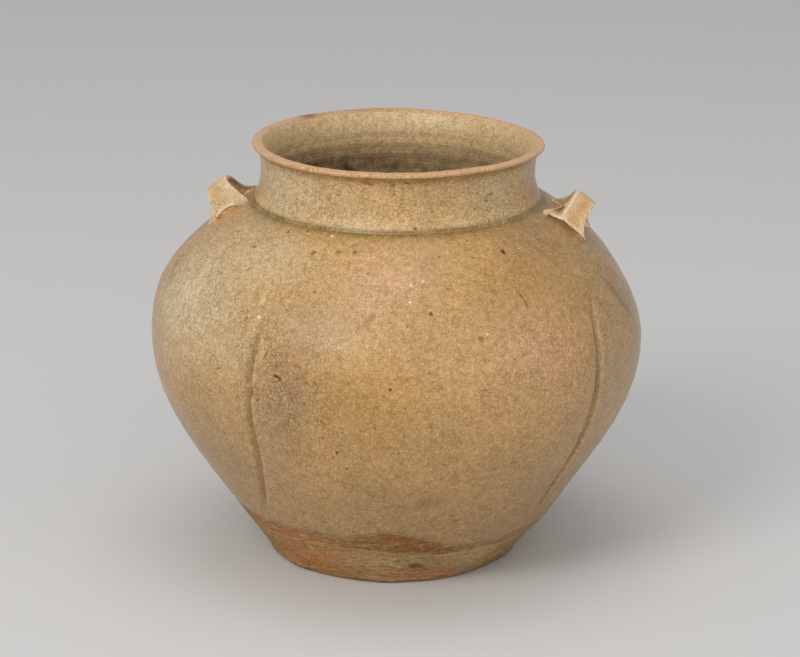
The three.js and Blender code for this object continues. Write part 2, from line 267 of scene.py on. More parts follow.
# The glaze stops in an uneven line: high on the left of the front, peaked once, then low on the right.
# Between it and the turned ledge runs a thin wash, and the glaze is thick just above it and in the groove
# of the neck.
glaze_line = line_round([
    (-160, 25.0), (-139, 26.4), (-123, 25.9), (-110, 26.2), (-105, 25.3), (-98, 26.2), (-92, 27.5),
    (-87, 29.8), (-83, 30.5), (-78, 28.6), (-71, 25.0), (-63, 20.6), (-54, 19.2), (-43, 18.5), (-39, 19.8),
    (-31, 20.6), (20, 22.0), (110, 24.0),
])
above_line = height / MM - glaze_line
in_band = ease(above_ledge, 0.2, 2.2) * (1 - ease(above_line, -0.8, 0.9)) * is_outside
in_groove = bell(height, seat_height - 0.2 * MM, 1.1 * MM) + 0.35 * bell(height, seat_height, 3 * MM)
# A painted highlight along the turned ledge
masks["pale_clay_and_ledge_highlight"] += bell(above_ledge, 0.1, 0.5)
# Painted shade, darker towards the bottom of the wall and more on the right
masks["low_shade"] += (1 - ease(height, 30 * MM, 72 * MM)) * (0.6 + 0.4 * to_right).clip(0, 1) * is_outside
masks["clay"] = (1 - ease(above_line, -0.7, 0.7)) * is_outside
masks["wash"] = in_band * (0.12 + 0.88 * bell(turned(-76, angle), 0, 26))
masks["seam"] = bell(above_line, 0.7, 0.7) * is_outside
# The crease line is painted darker: glaze pooled in it, and painted shade
masks["crease"] = crease_line * is_outside
masks["crest"] = crease_crest * is_outside
masks["pool"] = in_groove * is_outside
masks["inside"] = ~is_outside
body = skin("thrown_body", ring_points(radius, angle, height, foot_shift(height)), masks)


def linear(hex_colour):
    parts = [int(hex_colour[i : i + 2], 16) / 255 for i in (1, 3, 5)]
    return [p / 12.92 if p <= 0.04045 else ((p + 0.055) / 1.055) ** 2.4 for p in parts] + [1]


def add_node(tree, kind, inputs, output, **settings):
    """Adds one shader node, sets its settings, sets or links its inputs, and gives one of its outputs."""
    node = tree.nodes.new("ShaderNode" + kind)
    for name, value in settings.items():
        setattr(node, name, value)
    for socket, value in inputs.items():
        if isinstance(value, bpy.types.NodeSocket):
            tree.links.new(value, node.inputs[socket])
        else:
            node.inputs[socket].default_value = value
    return node.outputs[output] if output is not None else None


def new_material(name):
    """An empty material, its node tree, and places on the object in millimetres."""
    material = bpy.data.materials.new(name)
    material.use_nodes = True
    tree = material.node_tree
    tree.nodes.clear()
    place = add_node(tree, "TexCoord", {}, "Object")
    return material, tree, add_node(tree, "VectorMath", {0: place, "Scale": 1 / MM}, 0, operation="SCALE")


# Crackled ash glaze over iron-bearing stoneware, wood-fired: a thin tan glass, satin where it is ashy.
# Grains of the clay show through it, and it is finely crazed, with the lines stained brown in places.
GLAZE_TAN = "#c59b62"
GLAZE_DUN = "#b9945f"
GLAZE_OCHRE = "#bd8f49"
ASH_AND_SHEEN_TINT = "#d4c4a0"
GLAZE_FLUSH = "#cfa27a"
GLAZE_SCORCH = "#9c8062"
SHADE_TINT = "#a07c4c"
LOW_SHADE_TINT = "#957a56"
REFLECTION_GREY = "#a8967c"
GLAZE_SEAM = "#80602f"
GLAZE_POOL = "#84692f"
CREASE_SHADE = "#83673a"
CREASE_HIGHLIGHT = "#d2b285"
CRAZE_BROWN = "#6e4a22"
IRON_SPECK = "#4f3012"
QUARTZ_SPECK = "#f0d8aa"
GLAZE_ROUGHNESS = 0.27

# How far across each of its patterns is, in millimetres
CLOUD = 26
CRAZE_STAIN = 9
RAGGED_EDGE = 6
MOTTLE = 2.8
BEND = 2.2
CRAZE_CELL = 1.7
GRAIN = 0.5

# The sockets that a Mix node has for colours
A, B, FACTOR, MIXED = 6, 7, 0, 2


def tinted(tree, colour, mask, share, tint):
    """Lays a tint over a colour where the mesh has this mask, as strongly as the share says."""
    mask = add_node(tree, "Attribute", {}, "Fac", attribute_name=mask)
    mask = add_node(tree, "Math", {0: mask, 1: share}, 0, operation="MULTIPLY", use_clamp=True)
    return add_node(tree, "Mix", {FACTOR: mask, A: colour, B: linear(tint)}, MIXED, data_type="RGBA")


def ash_glaze(tree, space, tints, thin=GLAZE_TAN, thick=GLAZE_DUN, inked=0.0, contrast=1.0):
    """The glaze's colour and its relief, as two sockets."""
    cloud = add_node(tree, "TexNoise", {"Vector": space, "Scale": 1 / CLOUD, "Detail": 3.0}, "Fac")
    cloud = add_node(tree, "MapRange", {"Value": cloud, "From Min": 0.38, "From Max": 0.62}, "Result")
    colour = {FACTOR: cloud, A: linear(thin), B: linear(thick)}
    colour = add_node(tree, "Mix", colour, MIXED, data_type="RGBA")
    ragged = add_node(tree, "TexNoise", {"Vector": space, "Scale": 1 / RAGGED_EDGE, "Detail": 4.0}, "Fac")
    ragged = {"Value": ragged, "From Min": 0.3, "From Max": 0.7, "To Min": 0.5}
    ragged = add_node(tree, "MapRange", ragged, "Result")
    for mask, tint, strength in tints:
        share = add_node(tree, "Math", {0: ragged, 1: strength}, 0, operation="MULTIPLY")
        colour = tinted(tree, colour, mask, share, tint)

    # Sandy grain, mottling and a slow change across each crazed cell stir the colour, its blue more than its
    # red, because the iron in the clay is brown
    stir = add_node(tree, "TexNoise", {"Vector": space, "Scale": 1 / BEND, "Detail": 2.0}, "Color")
    bent = add_node(tree, "VectorMath", {0: stir, 1: (1.1, 1.1, 1.1), 2: space}, 0, operation="MULTIPLY_ADD")
    cell = {"Vector": bent, "Scale": 1 / CRAZE_CELL}
    middle = add_node(tree, "TexVoronoi", cell, "Distance")
    grain = {"Vector": space, "Scale": 1 / GRAIN, "Detail": 2.0, "Roughness": 0.6}
    grain = add_node(tree, "TexNoise", grain, "Fac")
    mottle = {"Vector": space, "Scale": 1 / MOTTLE, "Detail": 3.0, "Roughness": 0.65}
    mottle = add_node(tree, "TexNoise", mottle, "Fac")
    shade = add_node(tree, "Math", {0: middle, 1: -0.2, 2: -0.21}, 0, operation="MULTIPLY_ADD")
    shade = add_node(tree, "Math", {0: grain, 1: 1.75, 2: shade}, 0, operation="MULTIPLY_ADD")
    shade = add_node(tree, "Math", {0: mottle, 1: 0.85, 2: shade}, 0, operation="MULTIPLY_ADD")
    warm = np.array([0.92, 1.17, 1.6]) * contrast
    shade = add_node(tree, "VectorMath", {0: shade, 1: warm, 2: 1 - warm}, 0, operation="MULTIPLY_ADD")
    colour = {FACTOR: 1.0, A: colour, B: shade}
    colour = add_node(tree, "Mix", colour, MIXED, data_type="RGBA", blend_type="MULTIPLY")

    edge = add_node(tree, "TexVoronoi", cell, "Distance", feature="DISTANCE_TO_EDGE")
    edge = {"Value": edge, "From Min": 0.01, "From Max": 0.09, "To Min": 1, "To Max": 0}
    edge = add_node(tree, "MapRange", edge, "Result")
    stain = add_node(tree, "TexNoise", {"Vector": space, "Scale": 1 / CRAZE_STAIN, "Detail": 3.0}, "Fac")
    stain = {"Value": stain, "From Min": 0.4, "From Max": 0.65, "To Min": 0.1, "To Max": 0.42}
    stain = add_node(tree, "MapRange", stain, "Result")
    stain = {0: inked, 1: 0.6, 2: stain}
    stain = add_node(tree, "Math", stain, 0, operation="MULTIPLY_ADD", use_clamp=True)
    craze = add_node(tree, "Math", {0: edge, 1: stain}, 0, operation="MULTIPLY")
    colour = {FACTOR: craze, A: colour, B: linear(CRAZE_BROWN)}
    colour = add_node(tree, "Mix", colour, MIXED, data_type="RGBA")

    # Iron specks that bled through, small and large, and grains of quartz that stayed white
    for pitch, size, rarity, tint, strength in (
        (3.1, 0.1, 0.45, IRON_SPECK, 0.75),
        (9, 0.05, 0.5, IRON_SPECK, 0.85),
        (2.4, 0.12, 0.55, QUARTZ_SPECK, 0.55),
    ):
        near = add_node(tree, "TexVoronoi", {"Vector": bent, "Scale": 1 / pitch}, "Distance")
        chosen = {"Value": near.node.outputs["Color"], "From Min": rarity, "From Max": rarity + 0.12}
        chosen = add_node(tree, "MapRange", chosen, "Result")
        near = {"Value": near, "From Min": size / 2, "From Max": 1.5 * size, "To Min": strength, "To Max": 0}
        near = add_node(tree, "MapRange", near, "Result")
        speck = add_node(tree, "Math", {0: near, 1: chosen}, 0, operation="MULTIPLY")
        colour = {FACTOR: speck, A: colour, B: linear(tint)}
        colour = add_node(tree, "Mix", colour, MIXED, data_type="RGBA")
    return colour, grain


def finish_surface(tree, colour, roughness, relief, depth):
    """A dielectric surface with relief in parts of a millimetre."""
    normal = add_node(tree, "Bump", {"Height": relief, "Distance": MM, "Strength": depth}, "Normal")
    surface = {"Base Color": colour, "Roughness": roughness, "IOR": 1.5, "Normal": normal}
    shader = add_node(tree, "BsdfPrincipled", surface, "BSDF")
    add_node(tree, "OutputMaterial", {"Surface": shader}, None)


MARK_DEPTH = 8  # millimetres, deep enough to hold the wall's relief
TEAR = 1.2  # millimetres that the edge of a mark is torn by


def with_marks(tree, space, colour, marks, profile):
    """Adds marks on a wall whose profile is given as radius and height, each pressed flat to the wall."""
    stir = add_node(tree, "TexNoise", {"Vector": space, "Scale": 1 / 1.6, "Detail": 3.0}, "Color")
    torn = add_node(tree, "VectorMath", {0: stir, 1: (TEAR,) * 3, 2: space}, 0, operation="MULTIPLY_ADD")
    rise = np.gradient(profile, axis=0)
    for at_angle, at_height, length, width, lean, tint, strength in marks:
        at_radius = np.interp(at_height * MM, profile[:, 1], profile[:, 0]) / MM
        slope = np.interp(at_height * MM, profile[:, 1], np.arctan2(rise[:, 1], rise[:, 0]))
        around_z = Matrix.Rotation(np.radians(at_angle + 90), 3, "Z")
        tilt = Matrix.Rotation(np.pi - slope, 3, "X")
        lie = around_z @ tilt @ Matrix.Rotation(np.radians(lean), 3, "Z")
        centre = around_z @ Vector((0, -at_radius, at_height))
        centre += Vector((TEAR / 2 + foot_shift(at_height * MM) / MM, TEAR / 2, TEAR / 2))
        local = add_node(tree, "Mapping", {
            "Vector": torn, "Location": centre, "Rotation": lie.to_euler(),
            "Scale": (length / 2, width / 2, MARK_DEPTH),
        }, "Vector", vector_type="TEXTURE")
        away = add_node(tree, "VectorMath", {0: local}, "Value", operation="LENGTH")
        seen = {"Value": away, "From Min": 0.55, "From Max": 1.25, "To Min": strength, "To Max": 0}
        seen = add_node(tree, "MapRange", seen, "Result", interpolation_type="SMOOTHSTEP")
        colour = add_node(tree, "Mix", {FACTOR: seen, A: colour, B: linear(tint)}, MIXED, data_type="RGBA")
    return colour


body_glaze, tree, space = new_material("crackled_ash_glaze_on_stoneware")
inked = add_node(tree, "Attribute", {}, "Fac", attribute_name="inked")
colour, grain = ash_glaze(tree, space, [
    ("ash_and_sheen", ASH_AND_SHEEN_TINT, 1.0),
    ("flush", GLAZE_FLUSH, 0.9),
    ("ochre", GLAZE_OCHRE, 0.9),
    ("scorch", GLAZE_SCORCH, 0.75),
    ("painted_shade", SHADE_TINT, 0.7),
    ("low_shade", LOW_SHADE_TINT, 0.6),
    ("seam", GLAZE_SEAM, 0.7),
    ("side_reflection", REFLECTION_GREY, 0.9),
    ("pool", GLAZE_POOL, 0.85),
    # Darker in the crease line, pooled glaze and painted shade
    ("crease", CREASE_SHADE, 0.7),
    # Painted highlight on the clay beside each crease
    ("crest", CREASE_HIGHLIGHT, 0.6),
], inked=inked)

# What the kiln and the years left on the wall, with painted shade and reflection in a few marks: place as
# angle and height in millimetres, length, width and lean from level of the mark, its colour, and how strongly
# it shows
kiln_marks = [
    (-116.9, 93.9, 4.4, 1.2, 88, "#8f4422", 0.9),
    (-115.2, 91.1, 2.8, 1.6, 40, "#6e4428", 0.6),
    (-110.4, 102.5, 3.4, 1.4, -20, "#4c2810", 0.9),
    (-109.4, 101.5, 1.7, 1.4, 60, "#4c2810", 0.8),
    (-110.9, 106.3, 4.2, 2.6, 60, "#a4623a", 0.4),
    (-121.2, 83.8, 2.4, 1.2, 60, "#b5713a", 0.5),
    (-106.8, 87.3, 1.0, 1.0, 0, "#342008", 0.9),
    (-113.7, 110.2, 4.4, 0.7, 72, "#4e3c26", 0.75),
    # Painted shade of two soft arcs
    (-95.2, 118.2, 10.0, 1.9, 24, "#8d6838", 0.55),
    (-89.2, 126.0, 8.5, 3.0, 55, "#8d6838", 0.5),
    (-100.9, 112.3, 3.4, 1.2, 10, "#806038", 0.5),
    (-48.0, 130.2, 9.5, 0.8, -72, "#5c4018", 0.75),
    (-48.1, 118.5, 3.4, 0.6, 5, "#6b4d2c", 0.6),
    (-46.5, 144.7, 1.9, 2.6, 0, "#3c2206", 0.95),
    (-73.7, 128.2, 1.7, 2.2, 20, "#52350c", 0.85),
    (-62.2, 118.4, 2.6, 2.4, -20, "#80502a", 0.7),
    (-57.7, 144.3, 1.1, 1.1, 0, "#4c3212", 0.8),
    (-54.6, 109.3, 1.0, 1.0, 0, "#452c0e", 0.8),
    (-79.9, 124.1, 0.9, 0.9, 0, "#4c3212", 0.7),
    (-83.8, 101.0, 1.3, 1.3, 0, "#452c0e", 0.85),
    (-96.2, 72.7, 1.5, 1.5, 0, "#452c0e", 0.85),
    (-94.2, 65.1, 1.4, 1.4, 0, "#452c0e", 0.85),
    (-57.9, 62.9, 5.0, 0.6, 8, "#6b4d2c", 0.5),
    (-47.7, 62.4, 5.0, 0.6, -12, "#6b4d2c", 0.5),
    (-73.3, 47.4, 14.0, 8.0, 8, "#8a6c3c", 0.4),
    (-133.3, 143.4, 2.0, 1.4, 0, "#5b4528", 0.8),
    (-128.7, 136.7, 3.2, 1.3, 60, "#67512f", 0.7),
    (-127.0, 100.3, 4.2, 0.9, 20, "#6b5233", 0.65),
    (-121.1, 121.1, 2.6, 1.6, 70, "#6b5233", 0.6),
    (-125.1, 149.9, 1.5, 2.0, 0, "#5a4020", 0.75),
    (-117.4, 151.2, 1.6, 1.8, 0, "#5a4020", 0.75),
    (-110.3, 145.5, 2.1, 2.8, 0, "#5e4526", 0.75),
    (-102.0, 146.6, 2.0, 2.6, 0, "#745430", 0.6),
    (-96.3, 147.0, 1.9, 2.2, 0, "#5e4526", 0.75),
    (-11.0, 65.7, 6.0, 1.0, 60, "#54402c", 0.8),
    (-171.1, 148.6, 3.4, 1.6, 20, "#6a5836", 0.8),
    (-169.9, 146.4, 4.4, 2.4, 18, "#d68f3c", 0.95),
    # Painted dark reflections, one near each side of the body
    (-163.2, 125.6, 18.0, 3.6, -48, "#836740", 0.4),
    (-9.2, 117.5, 26.0, 5.0, -62, "#75603f", 0.5),
    (-106.7, 150.9, 1.8, 1.6, 0, "#ecd2a2", 0.8),
    (-74.9, 138.6, 1.2, 1.2, 0, "#f2dcb0", 0.8),
    (-78.4, 137.5, 1.2, 1.2, 0, "#f2dcb0", 0.8),
    (-78.9, 132.1, 1.2, 1.2, 0, "#f2dcb0", 0.8),
    (-60.4, 119.9, 1.4, 1.4, 0, "#f2dcb0", 0.8),
    (-117.6, 122.7, 1.6, 1.6, 0, "#f2dcb0", 0.8),
    (-118.4, 128.5, 2.4, 4.0, 0, "#d8c8a4", 0.6),
    (-114.6, 94.0, 26.0, 1.6, 88, "#b09c7c", 0.4),
    (-115.0, 110.5, 12.0, 1.8, 86, "#c8b48c", 0.45),
    (-73.8, 10.2, 6.4, 4.4, 0, "#60401c", 0.75),
    (-70.5, 9.0, 5.0, 1.6, -10, "#60401c", 0.5),
    (-52.5, 7.5, 9.0, 6.0, 20, "#98906e", 0.5),
    (-104.9, 33.9, 1.6, 0.8, 10, "#4a3014", 0.8),
    (-100.6, 31.6, 1.4, 0.8, 0, "#4a3014", 0.75),
    (-95.8, 30.2, 1.6, 0.8, 20, "#4a3014", 0.75),
    (-61.2, 27.4, 1.5, 0.8, 0, "#4a3014", 0.7),
    (-52.0, 26.5, 2.2, 0.8, 15, "#4a3014", 0.75),
    (-63.8, 36.0, 1.2, 0.9, 0, "#4a3014", 0.7),
    (-56.5, 42.0, 1.3, 0.9, 0, "#4a3014", 0.65),
]

# Bare stoneware at the foot, trimmed with a knife: matt and sandy, flashed orange where the flame reached
# it, with a thin brown wash of glaze between its turned ledge and the glaze.
CLAY_TAN = "#b98d58"
CLAY_GREY = "#8c7550"
CLAY_FLASHED = "#c47a3c"
CLAY_PALE_AND_LEDGE_HIGHLIGHT = "#c8a877"
CLAY_DARK = "#6c4a24"
CLAY_SANDY = "#d6b98c"
WASH_BROWN = "#8c5a22"
CLAY_ROUGHNESS = 0.85
INNER_WALL = "#7a6038"
streaks = add_node(tree, "VectorMath", {0: space, 1: (0.08, 0.08, 1.2)}, 0, operation="MULTIPLY")
streaks = {"Vector": streaks, "Scale": 1.0, "Detail": 4.0, "Roughness": 0.6}
streaks = add_node(tree, "TexNoise", streaks, "Fac")
streaks = add_node(tree, "MapRange", {"Value": streaks, "From Min": 0.42, "From Max": 0.58}, "Result")
clay = {FACTOR: streaks, A: linear(CLAY_TAN), B: linear(CLAY_GREY)}
clay = add_node(tree, "Mix", clay, MIXED, data_type="RGBA")
for mask, tint, least in (
    ("flash", CLAY_FLASHED, 0.35),
    ("pale_clay_and_ledge_highlight", CLAY_PALE_AND_LEDGE_HIGHLIGHT, 0.2),
    ("wash", WASH_BROWN, 0.6),
):
    broken = add_node(tree, "MapRange", {"Value": streaks, "To Min": least, "To Max": 1.1}, "Result")
    clay = tinted(tree, clay, mask, broken, tint)
blotch = add_node(tree, "VectorMath", {0: space, 1: (0.3, 0.3, 0.8)}, 0, operation="MULTIPLY")
blotch = add_node(tree, "TexNoise", {"Vector": blotch, "Scale": 1.0, "Detail": 5.0, "Roughness": 0.7}, "Fac")
for tint, start, end, most in ((CLAY_DARK, 0.52, 0.68, 0.7), (CLAY_SANDY, 0.46, 0.32, 0.65)):
    patchy = {"Value": blotch, "From Min": start, "From Max": end, "To Max": most}
    patchy = add_node(tree, "MapRange", patchy, "Result")
    clay = add_node(tree, "Mix", {FACTOR: patchy, A: clay, B: linear(tint)}, MIXED, data_type="RGBA")
sand = {"Value": grain, "From Min": 0.3, "From Max": 0.7, "To Min": 0.5, "To Max": 1.45}
sand = add_node(tree, "MapRange", sand, "Result")
clay = add_node(tree, "Mix", {FACTOR: 1.0, A: clay, B: sand}, MIXED, data_type="RGBA", blend_type="MULTIPLY")

bare = add_node(tree, "Attribute", {}, "Fac", attribute_name="clay")
frayed = add_node(tree, "TexNoise", {"Vector": space, "Scale": 1 / 2.6, "Detail": 4.0}, "Fac")
bare = add_node(tree, "Math", {0: frayed, 1: 1.3, 2: bare}, 0, operation="MULTIPLY_ADD")
bare = add_node(tree, "MapRange", {"Value": bare, "From Min": 0.95, "From Max": 1.35}, "Result")
colour = add_node(tree, "Mix", {FACTOR: bare, A: colour, B: clay}, MIXED, data_type="RGBA")
colour = with_marks(tree, space, colour, kiln_marks, outer_wall)
colour = tinted(tree, colour, "inside", 1.0, INNER_WALL)
roughness = {"Value": bare, "To Min": GLAZE_ROUGHNESS, "To Max": CLAY_ROUGHNESS}
roughness = add_node(tree, "MapRange", roughness, "Result")
finish_surface(tree, colour, roughness, grain, 0.2)
body.data.materials.append(body_glaze)
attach(body, "root")
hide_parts("jar_body")

# Neck and lip
# A thrown collar luted on the shoulder, drawn in at its waist and turned out into a thin lip that isn't
# quite flat. The glaze runs down it into the groove at its foot, and the lip stands dry and pinkish.
lip_crown = np.array([57.0 * MM, 176.5 * MM])
lip_edge = np.array([60.5 * MM, 176.1 * MM])
under_lip = np.array([60.3 * MM, 174.8 * MM])
waist = np.array([57.0 * MM, seat_height + 12.5 * MM])
neck_wall = 4.2 * MM
root = np.array([60.5 * MM, seat_height - 0.5 * MM])
inner_waist = waist - [neck_wall, 0]
inner_root = np.array([mouth_radius - 0.3 * MM, groove[1] - 4.0 * MM])
neck_outside = np.vstack([
    bezier([root, root + [-0.7 * MM, 1.9 * MM], waist - [0.1 * MM, 8.0 * MM], waist], 34)[:-1],
    bezier([waist, waist + [0, 5.0 * MM], under_lip - [2.8 * MM, 1.7 * MM], under_lip], 30)[:-1],
])
outside_crown = lip_crown + [1.2 * MM, 0.1 * MM]
neck_lip = np.vstack([
    bezier([under_lip, under_lip + [0.4 * MM, 0.3 * MM], lip_edge + [0.3 * MM, -0.2 * MM], lip_edge], 7)[:-1],
    bezier([lip_edge, lip_edge + [-0.5 * MM, 0.3 * MM], outside_crown, lip_crown], 12)[:-1],
])
neck_inside = np.vstack([
    bezier([lip_crown, lip_crown - [1.4 * MM, 0.3 * MM], inner_waist + [0, 7 * MM], inner_waist], 34)[:-1],
    bezier([inner_waist, inner_waist - [0, 6 * MM], inner_root + [0, 6 * MM], inner_root], 30)[:-1],
    bezier([inner_root, inner_root + [0.4 * MM, 0], [root[0] - 2 * MM, root[1]], root], 6)[:-1],
])
neck_section = np.vstack([neck_outside, neck_lip, neck_inside])
part = np.repeat([0, 1, 2], [len(neck_outside), len(neck_lip), len(neck_inside)])[:, None]
on_outside, on_lip, on_inside = part == 0, part == 1, part == 2
neck_angle = np.arange(0, 360, 0.5)[None, :]
neck_radius, neck_height = neck_section[:, :1], neck_section[:, 1:]
up_neck = np.clip((neck_height - seat_height) / (lip_crown[1] - seat_height), 0, 1)
near_lip = ease(up_neck, 0.86, 1)

# Finger ridges inside, and a lip that waves, is thinner on one side and is nicked all along its edge
low_inside = ease(neck_height, groove[1] - 4 * MM, seat_height) * (1 - ease(up_neck, 0.5, 0.75)) * on_inside
fine_turns = 0.07 * np.sin(2 * np.pi * neck_height / (1.6 * MM))
broad_turns = 0.1 * np.sin(2 * np.pi * neck_height / (5.3 * MM))
nicks = wobble(neck_angle, [(3, 0.12, 80), (11, 0.07, 15), (31, 0.04, 200), (67, 0.02, 20)]) * near_lip
neck_radius = neck_radius + ((fine_turns + broad_turns) * low_inside + nicks) * MM
out_of_flat = wobble(neck_angle, [(1, 0.8, 144), (2, 0.35, -272), (3, 0.13, 117)])
chips = wobble(neck_angle, [(9, 0.07, 130), (23, 0.05, 40), (51, 0.03, 310)]) * near_lip
thin_side = 0.55 * bell(turned(-65, neck_angle), 0, 40) * on_outside * ease(up_neck, 0.88, 1)
neck_height = neck_height + (up_neck * out_of_flat + chips + thin_side) * MM


def facing(at_angle, half_width):
    return bell(turned(at_angle, neck_angle), 0, half_width)


neck_masks = {
    "lip": on_lip + ease(up_neck, 0.925, 0.955) * on_outside + ease(up_neck, 0.92, 1) * on_inside,
    "pool": bell(neck_height, seat_height + 0.5 * MM, 0.9 * MM) * on_outside,
    "flare": bell(neck_height, seat_height + 3.0 * MM, 1.3 * MM) * on_outside,
    "shade": bell(up_neck, 0.9, 0.09) * on_outside,
    "inside": on_inside,
    "crazed": 0.2 - 0.5 * on_inside,
    # Painted shade, darker down inside the neck
    "deep": (1 - ease(up_neck, 0.0, 0.6)) * (0.6 + 0.4 * facing(172, 58)) * on_inside,
    # Paler ash glaze on both sides of the collar, partly a painted highlight
    "ash_and_sheen": (facing(-140, 28) + 0.7 * facing(-38, 14)) * on_outside,
    # Painted grey reflection at the neck's right edge
    "edge_reflection": facing(4, 22) * on_outside,
    "ends": facing(178, 34) + facing(-2, 34),
    "chip": (facing(140, 5) + 0.35 * facing(110, 25)) * near_lip,
    "flush": facing(-5, 40) * near_lip,
}
neck_points = ring_points(neck_radius, neck_angle, neck_height, 0.5 * MM * up_neck)
neck = skin("neck_and_everted_lip", neck_points, neck_masks, joined=True)
neck_glaze, tree, space = new_material("crackled_ash_glaze_on_neck")
crazed = add_node(tree, "Attribute", {}, "Fac", attribute_name="crazed")
colour, grain = ash_glaze(tree, space, [
    ("ash_and_sheen", ASH_AND_SHEEN_TINT, 0.6),
    ("edge_reflection", "#a08a66", 0.6),
    ("flare", "#ceac76", 0.6),
    ("pool", GLAZE_POOL, 1.1),
    ("shade", "#957848", 0.9),
    ("inside", "#d6b98c", 0.9),
    ("deep", "#402d17", 1.15),
], thin="#cfa870", thick="#c4a16c", inked=crazed)

# Spots of iron and quartz on the collar, as the kiln's marks on the wall
collar_marks = [
    (-94.9, 172.6, 5.4, 2.0, -12, "#a8592e", 0.75),
    (-92.5, 171.9, 2.4, 1.2, 5, "#8a4424", 0.6),
    (-83.9, 171.8, 2.6, 1.5, 20, "#8a5528", 0.8),
    (-78.4, 172.9, 2.6, 1.4, 0, "#5f4426", 0.75),
    (-91.5, 160.3, 1.5, 1.5, 0, "#e8c896", 0.6),
    (-56.4, 164.8, 1.6, 1.6, 0, "#e4bd8c", 0.6),
    (-48.0, 164.5, 1.6, 1.4, 0, "#e4bd8c", 0.6),
    (-43.4, 162.1, 1.3, 1.3, 0, "#4f360f", 0.85),
    (-40.8, 164.6, 1.2, 1.2, 0, "#4f360f", 0.8),
    (-49.4, 159.7, 1.2, 1.2, 0, "#4f360f", 0.8),
    (-75.6, 154.4, 1.5, 1.3, 0, "#40290c", 0.85),
    (-43.9, 154.2, 1.2, 1.2, 0, "#40290c", 0.8),
]
colour = with_marks(tree, space, colour, collar_marks, neck_outside)

# The dry lip: unglazed clay, crumbly and pitted, flushed at the right and duller at both ends
LIP_BROWN = "#b98a5c"
LIP_PINK = "#e2b98a"
LIP_PIT = "#7a5638"
LIP_ROUGHNESS = 0.75
crumbs = add_node(tree, "TexNoise", {"Vector": space, "Scale": 1.0, "Detail": 3.0, "Roughness": 0.75}, "Fac")
lip_tone = add_node(tree, "MapRange", {"Value": crumbs, "From Min": 0.38, "From Max": 0.62}, "Result")
dry = {FACTOR: lip_tone, A: linear(LIP_BROWN), B: linear(LIP_PINK)}
dry = add_node(tree, "Mix", dry, MIXED, data_type="RGBA")
dry = tinted(tree, dry, "flush", 0.35, "#d69f72")
dry = tinted(tree, dry, "ends", 0.6, "#bfa585")
pits = add_node(tree, "TexVoronoi", {"Vector": space, "Scale": 1 / 1.9}, "Distance")
pits = {"Value": pits, "From Min": 0.1, "From Max": 0.26, "To Min": 0.8, "To Max": 0}
pits = add_node(tree, "MapRange", pits, "Result")
dry = add_node(tree, "Mix", {FACTOR: pits, A: dry, B: linear(LIP_PIT)}, MIXED, data_type="RGBA")
dry = tinted(tree, dry, "chip", 0.8, "#8f5f3a")
lip = add_node(tree, "Attribute", {}, "Fac", attribute_name="lip")
torn_lip = add_node(tree, "Math", {0: crumbs, 1: 0.9, 2: lip}, 0, operation="MULTIPLY_ADD")
torn_lip = add_node(tree, "MapRange", {"Value": torn_lip, "From Min": 0.7, "From Max": 1.3}, "Result")
colour = add_node(tree, "Mix", {FACTOR: torn_lip, A: colour, B: dry}, MIXED, data_type="RGBA")
relief = add_node(tree, "Math", {0: crumbs, 1: lip, 2: grain}, 0, operation="MULTIPLY_ADD")
roughness = {"Value": lip, "To Min": GLAZE_ROUGHNESS, "To Max": LIP_ROUGHNESS}
roughness = add_node(tree, "MapRange", roughness, "Result")
finish_surface(tree, colour, roughness, relief, 0.2)
neck.data.materials.append(neck_glaze)
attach(neck, "root")
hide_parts("neck_and_lip")

# Strap loops
# A short strap of clay bent over the shoulder on each side and pressed down with a finger, its two feet
# spread and smeared. The glaze ran off it, so it is pale cream, with ochre where the clay shows through.
half_span = 9.9 * MM
strap_thickness = 2.0 * MM
edge_bead = 1.0 * MM
crest_half_width = 4.9 * MM
downhill_spread = 4.8 * MM
toe = 2.4 * MM
points_along = 230
points_across = 84

loop_glaze, tree, space = new_material("thin_cream_glaze_on_straps")
colour, grain = ash_glaze(tree, space, [
    ("ochre", "#d09a4c", 0.9),
    ("edge", "#f8deba", 0.95),
    ("dent", "#9c8544", 0.95),
    ("painted_light_under", "#fff0cc", 1.0),
    ("gap_shadow", "#5d4a2e", 0.9),
    ("bare", "#e8b068", 1.0),
    ("smear", "#b59a6c", 0.6),
], thin="#e4caa2", thick="#d6b688", inked=-0.4, contrast=0.8)
lumps = {"Vector": space, "Scale": 1 / 1.5, "Detail": 3.0, "Roughness": 0.7}
lumps = add_node(tree, "TexNoise", lumps, "Fac")
relief = add_node(tree, "Math", {0: lumps, 1: 2.0, 2: grain}, 0, operation="MULTIPLY_ADD")
finish_surface(tree, colour, 0.45, relief, 0.5)


